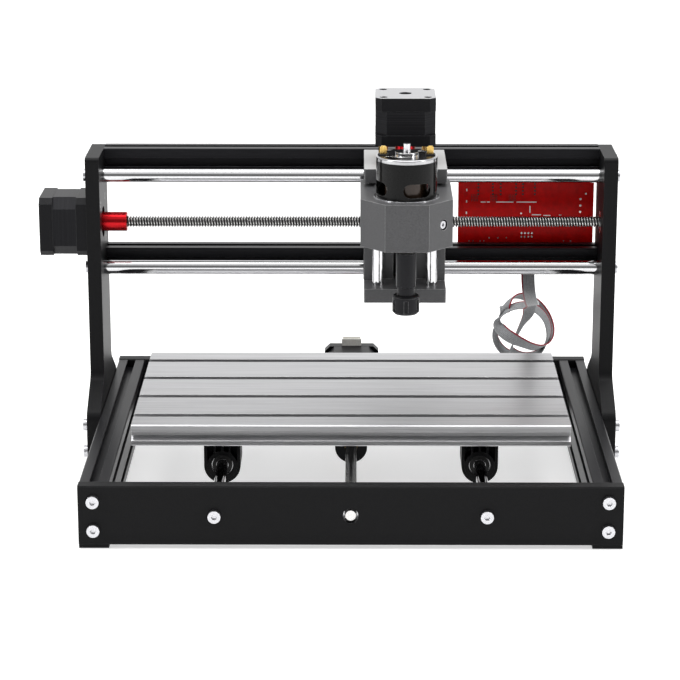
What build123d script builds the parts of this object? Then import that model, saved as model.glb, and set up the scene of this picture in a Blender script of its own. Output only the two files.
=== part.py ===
from build123d import *
import math
import os

# Desktop CNC router with a moving table (Y), a carriage on two cross rods (X) and a spindle head (Z).
# While modelling, X = 0 is the middle of the frame, Y = 0 the front of the front plate, Z = 0 the bench.

# Base frame: two end plates joined by two 20 x 40 slotted rails
frame_width = 360.0
plate_thickness = 10.0
plate_bottom = 2.5
plate_top = 43.5
plate_edge = 0.8
foot_width = 20.0
rail_length = 290.0
rail_bottom = 3.0
cell = 20.0
base_axis = 23.0

# T-slot of the 20 mm extrusions
slot_mouth = 6.2
slot_lip = 1.8
slot_inner = 11.0
slot_shoulder = 3.4
slot_root = 5.8
slot_depth = 6.0
core_radius = 2.5
extrusion_corner = 1.0

# Uprights: plates outside the rails, wide at the foot and narrow above
upright_thickness = 10.0
boot_front = 156.0
boot_back = 280.0
boot_top = 43.0
column_front = 190.0
column_back = 245.5
column_start = 63.0
upright_top = 224.0
upright_corner = 3.0
upright_bend = 9.0
boot_screw_inset = 10.0

# Cross beams, rods and screws of the X axis
beam_front = 225.5
upper_beam_bottom = 204.0
lower_beam_bottom = 130.0
x_rod_radius = 5.0
x_rod_y = 212.5
upper_rod_z = 207.0
lower_rod_z = 139.0
x_screw_z = 173.0
rod_seat = 3.0

# Y rods and the lead screws
y_rod_radius = 4.0
y_rod_x = 90.0
screw_radius = 4.0
nut_radius = 5.1
nut_length = 15.0
nut_barrel = 10.0
nut_flange_radius = 11.0
nut_flange = 3.5
cut_flange_inset = 0.2
end_bearing_radius = 8.0
end_bearing_width = 5.0
screw_end_hole = 5.25

# Stepper motors and their couplers
motor_side = 42.3
motor_length = 34.0
motor_front_cap = 7.5
motor_rear_cap = 9.5
cap_corner = 4.0
stack_corner = 7.5
motor_pitch = 31.0
motor_boss_radius = 11.0
motor_boss = 2.0
motor_shaft_radius = 2.5
motor_shaft = 14.5
rotor_radius = 12.0
coupler_radius = 7.0
coupler_length = 25.0
coupler_gap = 0.5
set_screw_radius = 1.6
socket_width = 15.3
socket_length = 7.0
socket_height = 5.6
socket_wall = 0.9

# Table
table_width = 300.0
table_depth = 180.0
table_thickness = 15.0
table_top = 64.0
table_front = 68.0
table_slot_first = 22.5
table_slot_pitch = 45.0
table_slot_count = 4
table_slot_mouth = 6.4
table_slot_lip = 2.2
table_slot_inner = 11.6
table_slot_depth = 6.8
chamber_wall = 2.4
side_groove_top = 5.0
side_groove_bottom = 8.6
side_groove_slope = 11.4
side_groove_depth = 4.5

# Table bearings: four U-shaped housings and the screw nut's holder
housing_width = 25.5
housing_length = 28.0
housing_wall = 2.2
housing_rib = 1.4
housing_pocket = 8.0
housing_ring_radius = 10.5
front_housing_y = 103.5
rear_housing_y = 184.0
flange_length = 12.0
flange_height = 4.0
flange_screw_inset = 8.0
lm8_radius = 7.5
lm8_length = 24.0
holder_width = 23.0
holder_length = 16.0
holder_y = 145.0

# X carriage
carriage_x = 38.0
carriage_width = 58.0
carriage_front = 156.0
carriage_bottom = 127.0
carriage_top = 223.5
carriage_shelf = 10.0
carriage_cheek = 6.0
carriage_cheek_front = 180.5
recess_floor = 186.0
channel_clearance = 1.0
channel_floor = 200.4
lm10_radius = 9.5
lm10_length = 29.0

# Z axis
z_screw_y = 189.0
z_rod_radius = 4.0
z_rod_spacing = 38.0
z_rod_y = 169.5
z_rod_seat = 6.0
standoff_height = 13.8
standoff_flats = 5.5
standoff_stud = 4.0
z_screw_bottom = 128.5

# Spindle clamp, a six-sided block round the spindle motor
clamp_bottom = 178.0
clamp_height = 33.0
clamp_wall = 5.0
clamp_facet_width = 30.0
clamp_side_wall = 9.2
clamp_shoulder = 116.0
clamp_back = 179.5
flux_ring_wall = 1.5
clamp_screw_share = 0.62
clamp_screw_sink = 3.8
clamp_screw_gap = 0.15
flux_ring_slit = 2.0
tongue_back = 200.0
tongue_relief = 5.0
spindle_y = 125.0

# Spindle motor, tool holder and collet
can_radius = 21.0
can_wall = 1.5
can_bottom = 176.5
can_height = 60.5
can_nose_radius = 8.75
can_nose = 4.5
end_cap_height = 3.0
end_boss_radius = 8.0
end_boss = 2.5
window_width = 20.0
window_height = 9.6
window_lift = 7.7
window_angles = (-69, 21, 111, 201)
spindle_shaft_radius = 2.5
spindle_shaft_top = 248.0
armature_radius = 15.0
holder_body_radius = 7.0
holder_body_bottom = 147.0
holder_body_top = 171.5
holder_neck_radius = 6.0
collet_nut_radius = 9.5
collet_nut_bottom = 128.0
collet_nut_height = 13.0
collet_bore_radius = 1.6

# Control board behind the beams
board_width = 100.0
board_height = 86.0
board_right = 178.7
board_bottom = 134.0
board_gap = 4.0
board_thickness = 1.6
board_hole_inset = 4.5
spacer_radius = 3.0
heatsink_width = 62.0
heatsink_height = 40.0
heatsink_base = 3.0
heatsink_fin = 9.0
fin_count = 9
fin_thickness = 1.4
fan_side = 40.0
fan_depth = 10.0
fan_wall = 1.5
fan_hub_radius = 12.0
fan_pitch = 32.0
switch_side = 8.5
switch_drop = 6.0
switch_height = 10.0
button_radius = 2.4
button_cap_radius = 3.2
button_rise = 3.0
button_cap = 2.5

# Ribbon cable, a flat 8-way lead whose free end lies in loose loops on the bench behind the machine
ribbon_width = 10.2
ribbon_header_x = 132.0
ribbon_plug_length = 12.0
ribbon_plug_width = 14.2
ribbon_plug_height = 6.4
coil_outer = 28.5
coil_inner = 14.0
coil_thickness = 30.0
coil_centre = (143.0, 440.0)
drop_points = [
    (132.0, 266.2, 140.6),
    (132.3, 267.2, 123.0),
    (133.0, 278.0, 104.5),
    (135.0, 303.0, 88.0),
    (138.0, 338.0, 76.5),
    (142.0, 376.0, 68.0),
    (145.0, 409.0, 59.0),
    (146.0, 427.0, 49.0),
]
tail_points = [
    (127.0, 441.0, 5.6),
    (113.0, 446.0, 5.4),
    (99.0, 440.5, 5.4),
    (86.0, 438.0, 5.4),
]

# Fasteners and fits
m5_radius = 2.45
m5_head_radius = 4.25
m5_head = 3.5
m5_socket = 2.0
m3_radius = 1.45
m3_head_radius = 2.75
m3_head = 3.0
m3_socket = 1.25
screw_clearance = 0.2
seat_clearance = 0.05
running_clearance = 0.05
side_clearance = 0.3
screw_pass = 0.7

# Places that follow from the sizes above
half_frame = frame_width / 2
rail_front = plate_thickness
back_plate_front = rail_front + rail_length
back_plate_back = back_plate_front + plate_thickness
rail_x = half_frame - cell / 2
rail_axes = [rail_bottom + cell / 2, rail_bottom + 3 * cell / 2]
upright_inner = half_frame
upright_outer = half_frame + upright_thickness
beam_y = beam_front + cell / 2
beam_back = beam_front + cell
beam_axes = [upper_beam_bottom + cell / 2, lower_beam_bottom + cell / 2]
boot_screws = [boot_front + boot_screw_inset, boot_back - boot_screw_inset]
table_bottom = table_top - table_thickness
channel_width = 2 * (coupler_radius + channel_clearance)
tongue_width = channel_width - 2 * side_clearance
cut_flange_width = tongue_width - 2 * cut_flange_inset
clamp_bore_radius = can_radius + flux_ring_wall
clamp_front = spindle_y - clamp_bore_radius - clamp_wall
clamp_width = 2 * (clamp_bore_radius + clamp_side_wall)
carriage_back = beam_front - 2 * side_clearance
carriage_low_x = carriage_x - carriage_width / 2
carriage_high_x = carriage_x + carriage_width / 2
shelf_low = carriage_bottom + carriage_shelf
shelf_high = carriage_top - carriage_shelf
z_motor_bottom = carriage_top + standoff_height
clamp_top = clamp_bottom + clamp_height
can_top = can_bottom + can_height
board_front = beam_back + board_gap
board_back = board_front + board_thickness
board_left = board_right - board_width
board_top = board_bottom + board_height
switch_top = board_top - switch_drop
fan_x = (board_left + board_right) / 2
fan_z = board_bottom + board_height / 2 + 4.0
fan_front = board_back + heatsink_base + heatsink_fin
header_z = board_bottom + 10.0
half_pitch = motor_pitch / 2
motor_holes = [(x, y) for x in (-half_pitch, half_pitch) for y in (-half_pitch, half_pitch)]

# The part's own origin is under the middle of the machine, on the bench
origin_x = (m5_head - motor_length) / 2
origin_y = (back_plate_back + motor_length - m5_head) / 2

LOW = (Align.CENTER, Align.CENTER, Align.MIN)
CORNER = (Align.MIN, Align.MIN, Align.MIN)
TURNS = {"X": Rot(0, 90, 0), "Y": Rot(-90, 0, 0), "Z": Rot(0, 0, 0)}


def block(x, y, z):
    """Rectangular block from three (low, high) pairs."""
    return Pos(x[0], y[0], z[0]) * Box(x[1] - x[0], y[1] - y[0], z[1] - z[0], align=CORNER)


def place(axis, centre, start):
    """Location whose +Z runs along an axis from start, through the two other coordinates."""
    spots = {"X": (start, *centre), "Y": (centre[0], start, centre[1]), "Z": (*centre, start)}
    return Pos(*spots[axis]) * TURNS[axis]


def bar(axis, radius, centre, start, end):
    """Round bar along X, Y or Z between two coordinates."""
    return place(axis, centre, start) * Cylinder(radius, end - start, align=LOW)


def tube(axis, outer, inner, centre, start, end):
    """Round tube along X, Y or Z."""
    return bar(axis, outer, centre, start, end) - bar(axis, inner, centre, start - 1, end + 1)


def group(pieces):
    """Several separate solids as one node."""
    return Compound([solid for piece in pieces for solid in piece.solids()])


def outline(points):
    """Closed face from corner points."""
    return make_face(Polyline(*points, close=True))


def socket_screw(radius, head_radius, head, socket, length):
    """Cap screw with its head above Z = 0 and its shank below."""
    shape = Cylinder(head_radius, head, align=LOW) + Pos(0, 0, -length) * Cylinder(radius, length, align=LOW)
    shape -= Pos(0, 0, head / 2) * extrude(RegularPolygon(socket, 6), head)
    return shape


def m5_screw(length):
    return socket_screw(m5_radius, m5_head_radius, m5_head, m5_socket, length)


def m3_screw(length):
    return socket_screw(m3_radius, m3_head_radius, m3_head, m3_socket, length)


# Extrusions

def cell_centres(length):
    count = round(length / cell)
    return [(i + 0.5) * cell - length / 2 for i in range(count)]


def t_slot():
    """T-slot section with its mouth on the line Y = 0, cut downwards."""
    right = [
        (slot_mouth / 2, 1.0),
        (slot_mouth / 2, -slot_lip),
        (slot_inner / 2, -slot_lip),
        (slot_inner / 2, -slot_shoulder),
        (slot_root / 2, -slot_depth),
    ]
    left = [(-x, y) for x, y in reversed(right)]
    return outline(right + left)


def slotted_section(width, height):
    """Section of a 20 mm extrusion with a slot in each cell side and a bore in each cell."""
    section = RectangleRounded(width, height, extrusion_corner)
    for x in cell_centres(width):
        section -= Pos(x, height / 2) * t_slot()
        section -= Pos(x, -height / 2) * Rot(0, 0, 180) * t_slot()
    for y in cell_centres(height):
        section -= Pos(width / 2, y) * Rot(0, 0, -90) * t_slot()
        section -= Pos(-width / 2, y) * Rot(0, 0, 90) * t_slot()
        section -= [Pos(x, y) * Circle(core_radius) for x in cell_centres(width)]
    return section


def rail(x):
    plane = Plane(origin=(x, rail_front, rail_bottom + cell), x_dir=(1, 0, 0), z_dir=(0, 1, 0))
    return extrude(plane * slotted_section(cell, 2 * cell), rail_length)


def beam(z):
    plane = Plane(origin=(-half_frame, beam_y, z), x_dir=(0, 1, 0), z_dir=(1, 0, 0))
    return extrude(plane * slotted_section(cell, cell), frame_width)


# Base plates and uprights

def plate_screw_places():
    """(x, z) of the rail screws and the rod screws of one end plate."""
    corners = [(x, z) for x in (-rail_x, rail_x) for z in rail_axes]
    rods = [(x, base_axis) for x in (-y_rod_x, y_rod_x)]
    return corners + rods


def end_plate(front):
    """Moulded plate across the rail ends, standing on a foot at each end."""
    back = front + plate_thickness
    plate = block((-half_frame, half_frame), (front, back), (plate_bottom, plate_top))
    plate = chamfer(plate.edges().filter_by(Axis.X), plate_edge)
    for x in (-half_frame, half_frame - foot_width):
        plate += block((x, x + foot_width), (front + 1, back - 1), (0, plate_bottom + 2))
    for x, z in plate_screw_places():
        plate -= bar("Y", m5_radius + screw_clearance, (x, z), front - 1, back + 1)
    return plate


def rod_seats(face, inward):
    """Blind seats of the Y rods in an end plate's inner face."""
    start, end = sorted((face, face - inward * rod_seat))
    radius = y_rod_radius + seat_clearance
    return [bar("Y", radius, (x, base_axis), start, end) for x in (-y_rod_x, y_rod_x)]


def front_plate():
    plate = end_plate(0)
    plate -= rod_seats(plate_thickness, 1)
    plate -= bar("Y", screw_end_hole, (0, base_axis), -1, plate_thickness)
    pocket = end_bearing_radius + seat_clearance
    plate -= bar("Y", pocket, (0, base_axis), plate_thickness - end_bearing_width, plate_thickness)
    return plate


def back_plate():
    plate = end_plate(back_plate_front)
    plate -= rod_seats(back_plate_front, -1)
    face, back = back_plate_front - 1, back_plate_back + 1
    plate -= bar("Y", motor_boss_radius + screw_clearance, (0, base_axis), face, back)
    for x, z in motor_holes:
        plate -= bar("Y", m3_radius + screw_clearance, (x, base_axis + z), face, back)
    return plate


def upright_blank(x):
    """Side plate: a wide foot beside the rail, leaning in to a column."""
    low = rail_bottom
    corners = [
        (boot_front, low),
        (boot_back, low),
        (boot_back, boot_top),
        (column_back, column_start),
        (column_back, upright_top),
        (column_front, upright_top),
        (column_front, column_start),
        (boot_front, boot_top),
    ]
    plane = Plane(origin=(x, 0, 0), x_dir=(0, 1, 0), z_dir=(1, 0, 0))
    face = outline(corners)
    bends = [v for v in face.vertices() if abs(v.Y - column_start) < 1 or abs(v.Y - boot_top) < 1]
    face = fillet(bends, upright_bend)
    tips = [v for v in face.vertices() if abs(v.Y - upright_top) < 1 or abs(v.Y - low) < 1]
    face = fillet(tips, upright_corner)
    return extrude(plane * face, upright_thickness)


def upright_screw_places():
    """(y, z) of the screws through one upright: boot, rods and beams."""
    boots = [(y, z) for y in boot_screws for z in rail_axes]
    rods = [(x_rod_y, z) for z in (upper_rod_z, lower_rod_z)]
    beams = [(beam_y, z) for z in beam_axes]
    return boots + rods + beams


def upright(side):
    low = upright_inner if side > 0 else -upright_outer
    high = low + upright_thickness
    inner = side * upright_inner
    plate = upright_blank(low)
    for y, z in upright_screw_places():
        plate -= bar("X", m5_radius + screw_clearance, (y, z), low - 1, high + 1)
    start, end = sorted((inner, inner + side * rod_seat))
    for z in (upper_rod_z, lower_rod_z):
        plate -= bar("X", x_rod_radius + seat_clearance, (x_rod_y, z), start, end)
    return plate


def left_upright():
    plate = upright(-1)
    low, high = -upright_outer, -upright_inner
    plate -= bar("X", motor_boss_radius + screw_clearance, (x_rod_y, x_screw_z), low - 1, high + 1)
    for y, z in motor_holes:
        spot = (x_rod_y + y, x_screw_z + z)
        plate -= bar("X", m3_radius + screw_clearance, spot, low - 1, high + 1)
        plate -= bar("X", m3_head_radius + screw_clearance, spot, high - m3_head - screw_clearance, high + 1)
    return plate


def right_upright():
    plate = upright(1)
    plate -= bar("X", screw_end_hole, (x_rod_y, x_screw_z), upright_inner, upright_outer + 1)
    pocket = end_bearing_radius + seat_clearance
    plate -= bar("X", pocket, (x_rod_y, x_screw_z), upright_inner, upright_inner + end_bearing_width)
    return plate


def tapped_rod(axis, radius, centre, start, end):
    """Ground rod with a tapped hole in each end for its M5 screw."""
    depth = 16.0
    rod = bar(axis, radius, centre, start, end)
    rod -= bar(axis, core_radius, centre, start, start + depth)
    rod -= bar(axis, core_radius, centre, end - depth, end)
    return rod


def x_rods():
    reach = upright_inner + rod_seat
    spots = [(x_rod_y, z) for z in (upper_rod_z, lower_rod_z)]
    return group(tapped_rod("X", x_rod_radius, spot, -reach, reach) for spot in spots)


def y_rods():
    start, end = rail_front - rod_seat, back_plate_front + rod_seat
    return group(tapped_rod("Y", y_rod_radius, (x, base_axis), start, end) for x in (-y_rod_x, y_rod_x))


def slot_nut():
    """Sliding nut for the 20 mm slot, its lip against Z = 0 and its body below."""
    return Pos(0, 0, -2.4) * Box(9.2, 9.2, 2.4, align=LOW) - Cylinder(core_radius, 20)


def frame_fasteners():
    """M5 screws of the end plates and uprights, and the sliding nuts behind the uprights' foot screws."""
    pieces = []
    for x, z in plate_screw_places():
        pieces.append(Pos(x, 0, z) * Rot(90, 0, 0) * m5_screw(22))
        pieces.append(Pos(x, back_plate_back, z) * Rot(-90, 0, 0) * m5_screw(22))
    lengths = [14] * len(boot_screws) * len(rail_axes) + [20] * 4
    for side in (-1, 1):
        for (y, z), length in zip(upright_screw_places(), lengths):
            pieces.append(Pos(side * upright_outer, y, z) * Rot(0, side * 90, 0) * m5_screw(length))
        for y in boot_screws:
            for z in rail_axes:
                nut = Pos(side * (upright_inner - slot_lip), y, z) * Rot(0, side * 90, 0) * slot_nut()
                pieces.append(nut)
    return group(pieces)


# Stepper motors, drawn with the mounting face on Z = 0 and the shaft upwards

def octagon(side, corner):
    return chamfer(Rectangle(side, side).vertices(), corner)


def motor_caps():
    """Die-cast front and rear covers."""
    front = Pos(0, 0, -motor_front_cap) * extrude(octagon(motor_side, cap_corner), motor_front_cap)
    front += Cylinder(motor_boss_radius, motor_boss, align=LOW)
    front -= Cylinder(motor_shaft_radius + running_clearance, 4 * motor_front_cap)
    rear = Pos(0, 0, -motor_length) * extrude(octagon(motor_side, cap_corner), motor_rear_cap)
    shaft_hole = Cylinder(motor_shaft_radius + running_clearance, 4, align=LOW)
    rear -= Pos(0, 0, motor_rear_cap - motor_length - 4) * shaft_hole
    rear -= Pos(0, 0, -motor_length) * Cylinder(4.5, 1.2, align=LOW)
    for x, y in motor_holes:
        front -= Pos(x, y, -4.5) * Cylinder(1.5, 4.5, align=LOW)
        rear -= Pos(x, y, -motor_length) * Cylinder(2.8, 3.0, align=LOW)
    return group([front, rear])


def motor_stack():
    """Steel laminations between the covers."""
    height = motor_length - motor_front_cap - motor_rear_cap
    stack = extrude(octagon(motor_side - 0.2, stack_corner), height)
    stack -= Cylinder(rotor_radius + side_clearance, 3 * height)
    return Pos(0, 0, motor_rear_cap - motor_length) * stack


def motor_rotor():
    """Shaft with the rotor pressed on it."""
    low = motor_rear_cap - motor_length
    shaft = Pos(0, 0, low - 3) * Cylinder(motor_shaft_radius, motor_shaft - low + 3, align=LOW)
    height = motor_length - motor_front_cap - motor_rear_cap - 2
    return shaft + Pos(0, 0, low + 1) * Cylinder(rotor_radius, height, align=LOW)


def motor_socket():
    """White plug socket on the side of the rear cover, its mouth facing +Y."""
    base = motor_side / 2
    z = 1.0 - motor_length
    half = socket_width / 2
    shell = block((-half, half), (base, base + socket_height), (z, z + socket_length))
    inner = half - socket_wall
    mouth = (z + socket_wall, z + socket_length - socket_wall)
    shell -= block((-inner, inner), (base + 1, base + socket_height + 1), mouth)
    for i in range(6):
        x = (i - 2.5) * 2.0
        shell += block((x - 0.25, x + 0.25), (base, base + 4.4), (z + 3.2, z + 3.7))
    return shell


def coupler():
    """Rigid sleeve with two set screws' holes, from Z = 0 upwards, motor end first."""
    body = Cylinder(coupler_radius, coupler_length, align=LOW)
    body = chamfer(body.edges().filter_by(GeomType.CIRCLE), 0.6)
    half = coupler_length / 2
    body -= Cylinder(motor_shaft_radius + running_clearance, half, align=LOW)
    body -= Pos(0, 0, half) * Cylinder(screw_radius + running_clearance, half, align=LOW)
    for z in (half / 2, coupler_length - half / 2):
        body -= Pos(0, 0, z) * Rot(0, 90, 0) * Cylinder(set_screw_radius, coupler_radius + 1, align=LOW)
    return body


X_MOTOR = Pos(-upright_outer, x_rod_y, x_screw_z) * Rot(0, 90, 0)
Y_MOTOR = Pos(0, back_plate_back, base_axis) * Rot(90, 0, 0)
Z_MOTOR = Pos(carriage_x, z_screw_y, z_motor_bottom) * Rot(180, 0, 0)
COUPLER_START = Pos(0, 0, motor_boss + coupler_gap)


def drive(motor):
    """What turns with one motor, apart from the lead screw: its rotor and the coupler."""
    return group([motor * motor_rotor(), motor * COUPLER_START * coupler()])


coupler_middle = motor_boss + coupler_gap + coupler_length / 2
coupler_overlap = coupler_middle + 0.5


def x_lead_screw():
    return bar("X", screw_radius, (x_rod_y, x_screw_z), coupler_overlap - upright_outer, upright_outer - 2)


def y_lead_screw():
    return bar("Y", screw_radius, (0, base_axis), 1, back_plate_back - coupler_overlap)


def z_lead_screw():
    return bar("Z", screw_radius, (carriage_x, z_screw_y), z_screw_bottom, z_motor_bottom - coupler_overlap)


def motor_sockets():
    return group([X_MOTOR * motor_socket(), Y_MOTOR * motor_socket()])


def motor_screws():
    """M3 screws that hold the X motor to the left upright and the Y motor to the back plate."""
    pieces = []
    for a, b in motor_holes:
        sunk = upright_inner + m3_head
        pieces.append(Pos(-sunk, x_rod_y + a, x_screw_z + b) * Rot(0, 90, 0) * m3_screw(10.5))
        pieces.append(Pos(a, back_plate_front, base_axis + b) * Rot(90, 0, 0) * m3_screw(14))
    return group(pieces)


def end_bearing():
    """Small ball bearing at a lead screw's free end, from Z = 0 upwards."""
    ring = Cylinder(end_bearing_radius, end_bearing_width, align=LOW)
    return ring - Cylinder(screw_radius + running_clearance, 3 * end_bearing_width)


def end_bearings():
    x_place = place("X", (x_rod_y, x_screw_z), upright_inner)
    y_place = place("Y", (0, base_axis), plate_thickness - end_bearing_width)
    return group([x_place * end_bearing(), y_place * end_bearing()])


# Table and what hangs under it

def table_slots():
    return [table_slot_first + i * table_slot_pitch for i in range(table_slot_count)]


def table_slot_section(y):
    mouth, inner = table_slot_mouth / 2, table_slot_inner / 2
    top, lip, floor = 1.0, -table_slot_lip, -table_slot_depth
    right = [(y + mouth, top), (y + mouth, lip), (y + inner, lip), (y + inner, floor)]
    left = [(2 * y - a, b) for a, b in reversed(right)]
    return outline(right + left)


def side_groove(edge, inward):
    """Groove along the table's front or back edge: a square step above, a slope below."""
    deep = edge + inward * side_groove_depth
    out = edge - inward
    return outline([
        (out, -side_groove_top),
        (deep, -side_groove_top),
        (deep, -side_groove_bottom),
        (edge, -side_groove_slope),
        (out, -side_groove_slope),
    ])


def table_section():
    """Section of the table across Y, with its top on the line Y = 0."""
    face = outline([(0, 0), (table_depth, 0), (table_depth, -table_thickness), (0, -table_thickness)])
    face = chamfer(face.vertices(), 0.8)
    spots = table_slots()
    for y in spots:
        face -= table_slot_section(y)
    for y, after in zip(spots, spots[1:]):
        low = y + table_slot_inner / 2 + chamber_wall
        high = after - table_slot_inner / 2 - chamber_wall
        half = (high - low - chamber_wall) / 2
        height = table_thickness - 2 * chamber_wall
        for start in (low, high - half):
            hollow = RectangleRounded(half, height, 1.0, align=(Align.MIN, Align.MAX))
            face -= Pos(start, -chamber_wall) * hollow
    face -= side_groove(0, 1)
    face -= side_groove(table_depth, -1)
    return face


def flange_screw_places():
    """(x, y) of the screws that hold the housings and the nut holder under the table."""
    front = front_housing_y + housing_length + flange_length - flange_screw_inset
    rear = rear_housing_y - flange_length + flange_screw_inset
    spread = flange_screw_inset
    housings = [(x + dx, y) for x in (-y_rod_x, y_rod_x) for dx in (-spread, spread) for y in (front, rear)]
    holder = [(dx, rear) for dx in (-spread, spread)]
    return housings + holder


def work_table():
    plane = Plane(origin=(-table_width / 2, table_front, table_top), x_dir=(0, 1, 0), z_dir=(1, 0, 0))
    table = extrude(plane * table_section(), table_width)
    for x, y in flange_screw_places():
        table -= bar("Z", m3_radius + seat_clearance, (x, y), table_bottom - 1, table_bottom + 6)
    return table


def table_screws():
    screw = Rot(180, 0, 0) * m3_screw(9.5)
    return group(Pos(x, y, table_bottom - flange_height) * screw for x, y in flange_screw_places())


def u_shape(x, width, y, length):
    """Block that hangs from the table and ends in a half round about the base axis."""
    half = width / 2
    shape = block((x - half, x + half), (y, y + length), (base_axis, table_bottom))
    return shape + bar("Y", half, (x, base_axis), y, y + length)


def housing(x, y, flange_y):
    """Bearing housing: a ring inside a U-shaped wall, ribs between them, and a flange with two screws."""
    body = u_shape(x, housing_width, y, housing_length)
    wide, long = (x - housing_width, x + housing_width), (y - 5, y + housing_length + 5)
    hollow = u_shape(x, housing_width - 2 * housing_wall, y - 1, housing_length + 2)
    hollow -= block(wide, long, (table_bottom - housing_wall, table_bottom + 5))
    hollow -= bar("Y", housing_ring_radius, (x, base_axis), *long)
    for dx in (-housing_ring_radius / 2, 0, housing_ring_radius / 2):
        rib = (x + dx - housing_rib / 2, x + dx + housing_rib / 2)
        hollow -= block(rib, long, (base_axis, table_bottom))
    web = block(wide, (y + housing_pocket, y + housing_length - housing_pocket), (0, table_bottom))
    body -= hollow - web
    half = housing_width / 2
    body += block((x - half, x + half), flange_y, (table_bottom - flange_height, table_bottom))
    body -= bar("Y", lm8_radius + seat_clearance, (x, base_axis), y - 1, y + housing_length + 1)
    return body


def flange_holes(shape):
    low, high = table_bottom - flange_height - 1, table_bottom + 1
    for spot in flange_screw_places():
        shape -= bar("Z", m3_radius + screw_clearance, spot, low, high)
    return shape


def bearing_housings():
    pieces = []
    front_end = front_housing_y + housing_length
    front_flange = (front_end, front_end + flange_length)
    rear_flange = (rear_housing_y - flange_length, rear_housing_y)
    for x in (-y_rod_x, y_rod_x):
        pieces.append(flange_holes(housing(x, front_housing_y, front_flange)))
        pieces.append(flange_holes(housing(x, rear_housing_y, rear_flange)))
    return group(pieces)


def y_bearings():
    inset = (housing_length - lm8_length) / 2
    outer, inner = lm8_radius, y_rod_radius + running_clearance
    spots = [(x, y + inset) for x in (-y_rod_x, y_rod_x) for y in (front_housing_y, rear_housing_y)]
    return group(tube("Y", outer, inner, (x, base_axis), y, y + lm8_length) for x, y in spots)


def y_nut_holder():
    back = holder_y + holder_length
    body = u_shape(0, holder_width, holder_y, holder_length)
    half = holder_width / 2
    body += block((-half, half), (back, rear_housing_y), (table_bottom - flange_height, table_bottom))
    body -= bar("Y", nut_radius + seat_clearance, (0, base_axis), back - nut_barrel, back + 1)
    body -= bar("Y", screw_radius + screw_pass, (0, base_axis), holder_y - 1, back)
    return flange_holes(body)


def lead_nut():
    """Brass nut: barrel up to Z = 0, flange above it and a short stub."""
    nut = Pos(0, 0, -nut_barrel) * Cylinder(nut_radius, nut_length, align=LOW)
    nut += Cylinder(nut_flange_radius, nut_flange, align=LOW)
    nut -= Cylinder(screw_radius + running_clearance, 4 * nut_length)
    return nut


def y_nut():
    return place("Y", (0, base_axis), holder_y + holder_length) * lead_nut()


# X carriage

def carriage_blank():
    """Tall C: two shelves for the Z rods, a back with a shallow recess and a channel for the Z screw."""
    wide = (carriage_low_x, carriage_high_x)
    gap = (shelf_low, shelf_high)
    body = block(wide, (carriage_front, carriage_back), (carriage_bottom, carriage_top))
    body = chamfer(body.edges().filter_by(Axis.Z), 0.6)
    body -= block((wide[0] - 1, wide[1] + 1), (carriage_front - 1, carriage_cheek_front), gap)
    recess = (wide[0] + carriage_cheek, wide[1] - carriage_cheek)
    body -= block(recess, (carriage_cheek_front - 1, recess_floor), gap)
    channel = (carriage_x - channel_width / 2, carriage_x + channel_width / 2)
    body -= block(channel, (recess_floor - 1, channel_floor), gap)
    return body


def carriage_body():
    body = carriage_blank()
    low, high = carriage_low_x - 1, carriage_high_x + 1
    for z in (upper_rod_z, lower_rod_z):
        body -= bar("X", lm10_radius + seat_clearance, (x_rod_y, z), low, high)
    screw = (x_rod_y, x_screw_z)
    nut_face = carriage_high_x - nut_flange
    body -= bar("X", nut_flange_radius + side_clearance, screw, nut_face, high)
    body -= bar("X", nut_radius + seat_clearance, screw, nut_face - nut_barrel, high)
    body -= bar("X", coupler_radius + 1, screw, low, nut_face - nut_barrel)
    seats = (shelf_low - z_rod_seat, shelf_high + z_rod_seat)
    for x in z_rod_places():
        body -= bar("Z", z_rod_radius + seat_clearance, (x, z_rod_y), *seats)
    middle = (carriage_x, z_screw_y)
    body -= bar("Z", coupler_radius + 0.8, middle, shelf_high - 1, carriage_top + 1)
    body -= bar("Z", screw_radius + screw_clearance, middle, carriage_bottom - 1, shelf_low + 1)
    for x, y in motor_holes:
        spot = (carriage_x + x, z_screw_y + y)
        body -= bar("Z", 1.5, spot, carriage_top - standoff_stud - 1, carriage_top + 1)
    return body


def x_bearings():
    outer, inner = lm10_radius, x_rod_radius + running_clearance
    pieces = []
    for z in (upper_rod_z, lower_rod_z):
        for start in (carriage_low_x, carriage_high_x - lm10_length):
            pieces.append(tube("X", outer, inner, (x_rod_y, z), start, start + lm10_length))
    return group(pieces)


def x_nut():
    """The stub is cut off flush, because the nut sits sunk in the carriage's side."""
    axis = (x_rod_y, x_screw_z)
    nut = place("X", axis, carriage_high_x - nut_flange) * lead_nut()
    return nut - bar("X", nut_flange_radius, axis, carriage_high_x, carriage_high_x + nut_length)


def z_rod_places():
    return (carriage_x - z_rod_spacing / 2, carriage_x + z_rod_spacing / 2)


def z_rods():
    start, end = shelf_low - z_rod_seat, shelf_high + z_rod_seat
    return group(bar("Z", z_rod_radius, (x, z_rod_y), start, end) for x in z_rod_places())


def z_standoffs():
    """Hexagonal brass pillars with a stud at each end."""
    pillar = extrude(RegularPolygon(standoff_flats / math.sqrt(3), 6), standoff_height)
    stud = Pos(0, 0, -standoff_stud) * Cylinder(m3_radius, standoff_height + 2 * standoff_stud, align=LOW)
    return group(Pos(carriage_x + x, z_screw_y + y, carriage_top) * (pillar + stud) for x, y in motor_holes)


# Spindle head

def clamp_section():
    half, facet = clamp_width / 2, clamp_facet_width / 2
    face = outline([
        (-facet, clamp_front),
        (facet, clamp_front),
        (half, clamp_shoulder),
        (half, clamp_back),
        (-half, clamp_back),
        (-half, clamp_shoulder),
    ])
    rear = [v for v in face.vertices() if abs(v.Y - clamp_back) < 0.1]
    return fillet(rear, 2.0)


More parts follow.
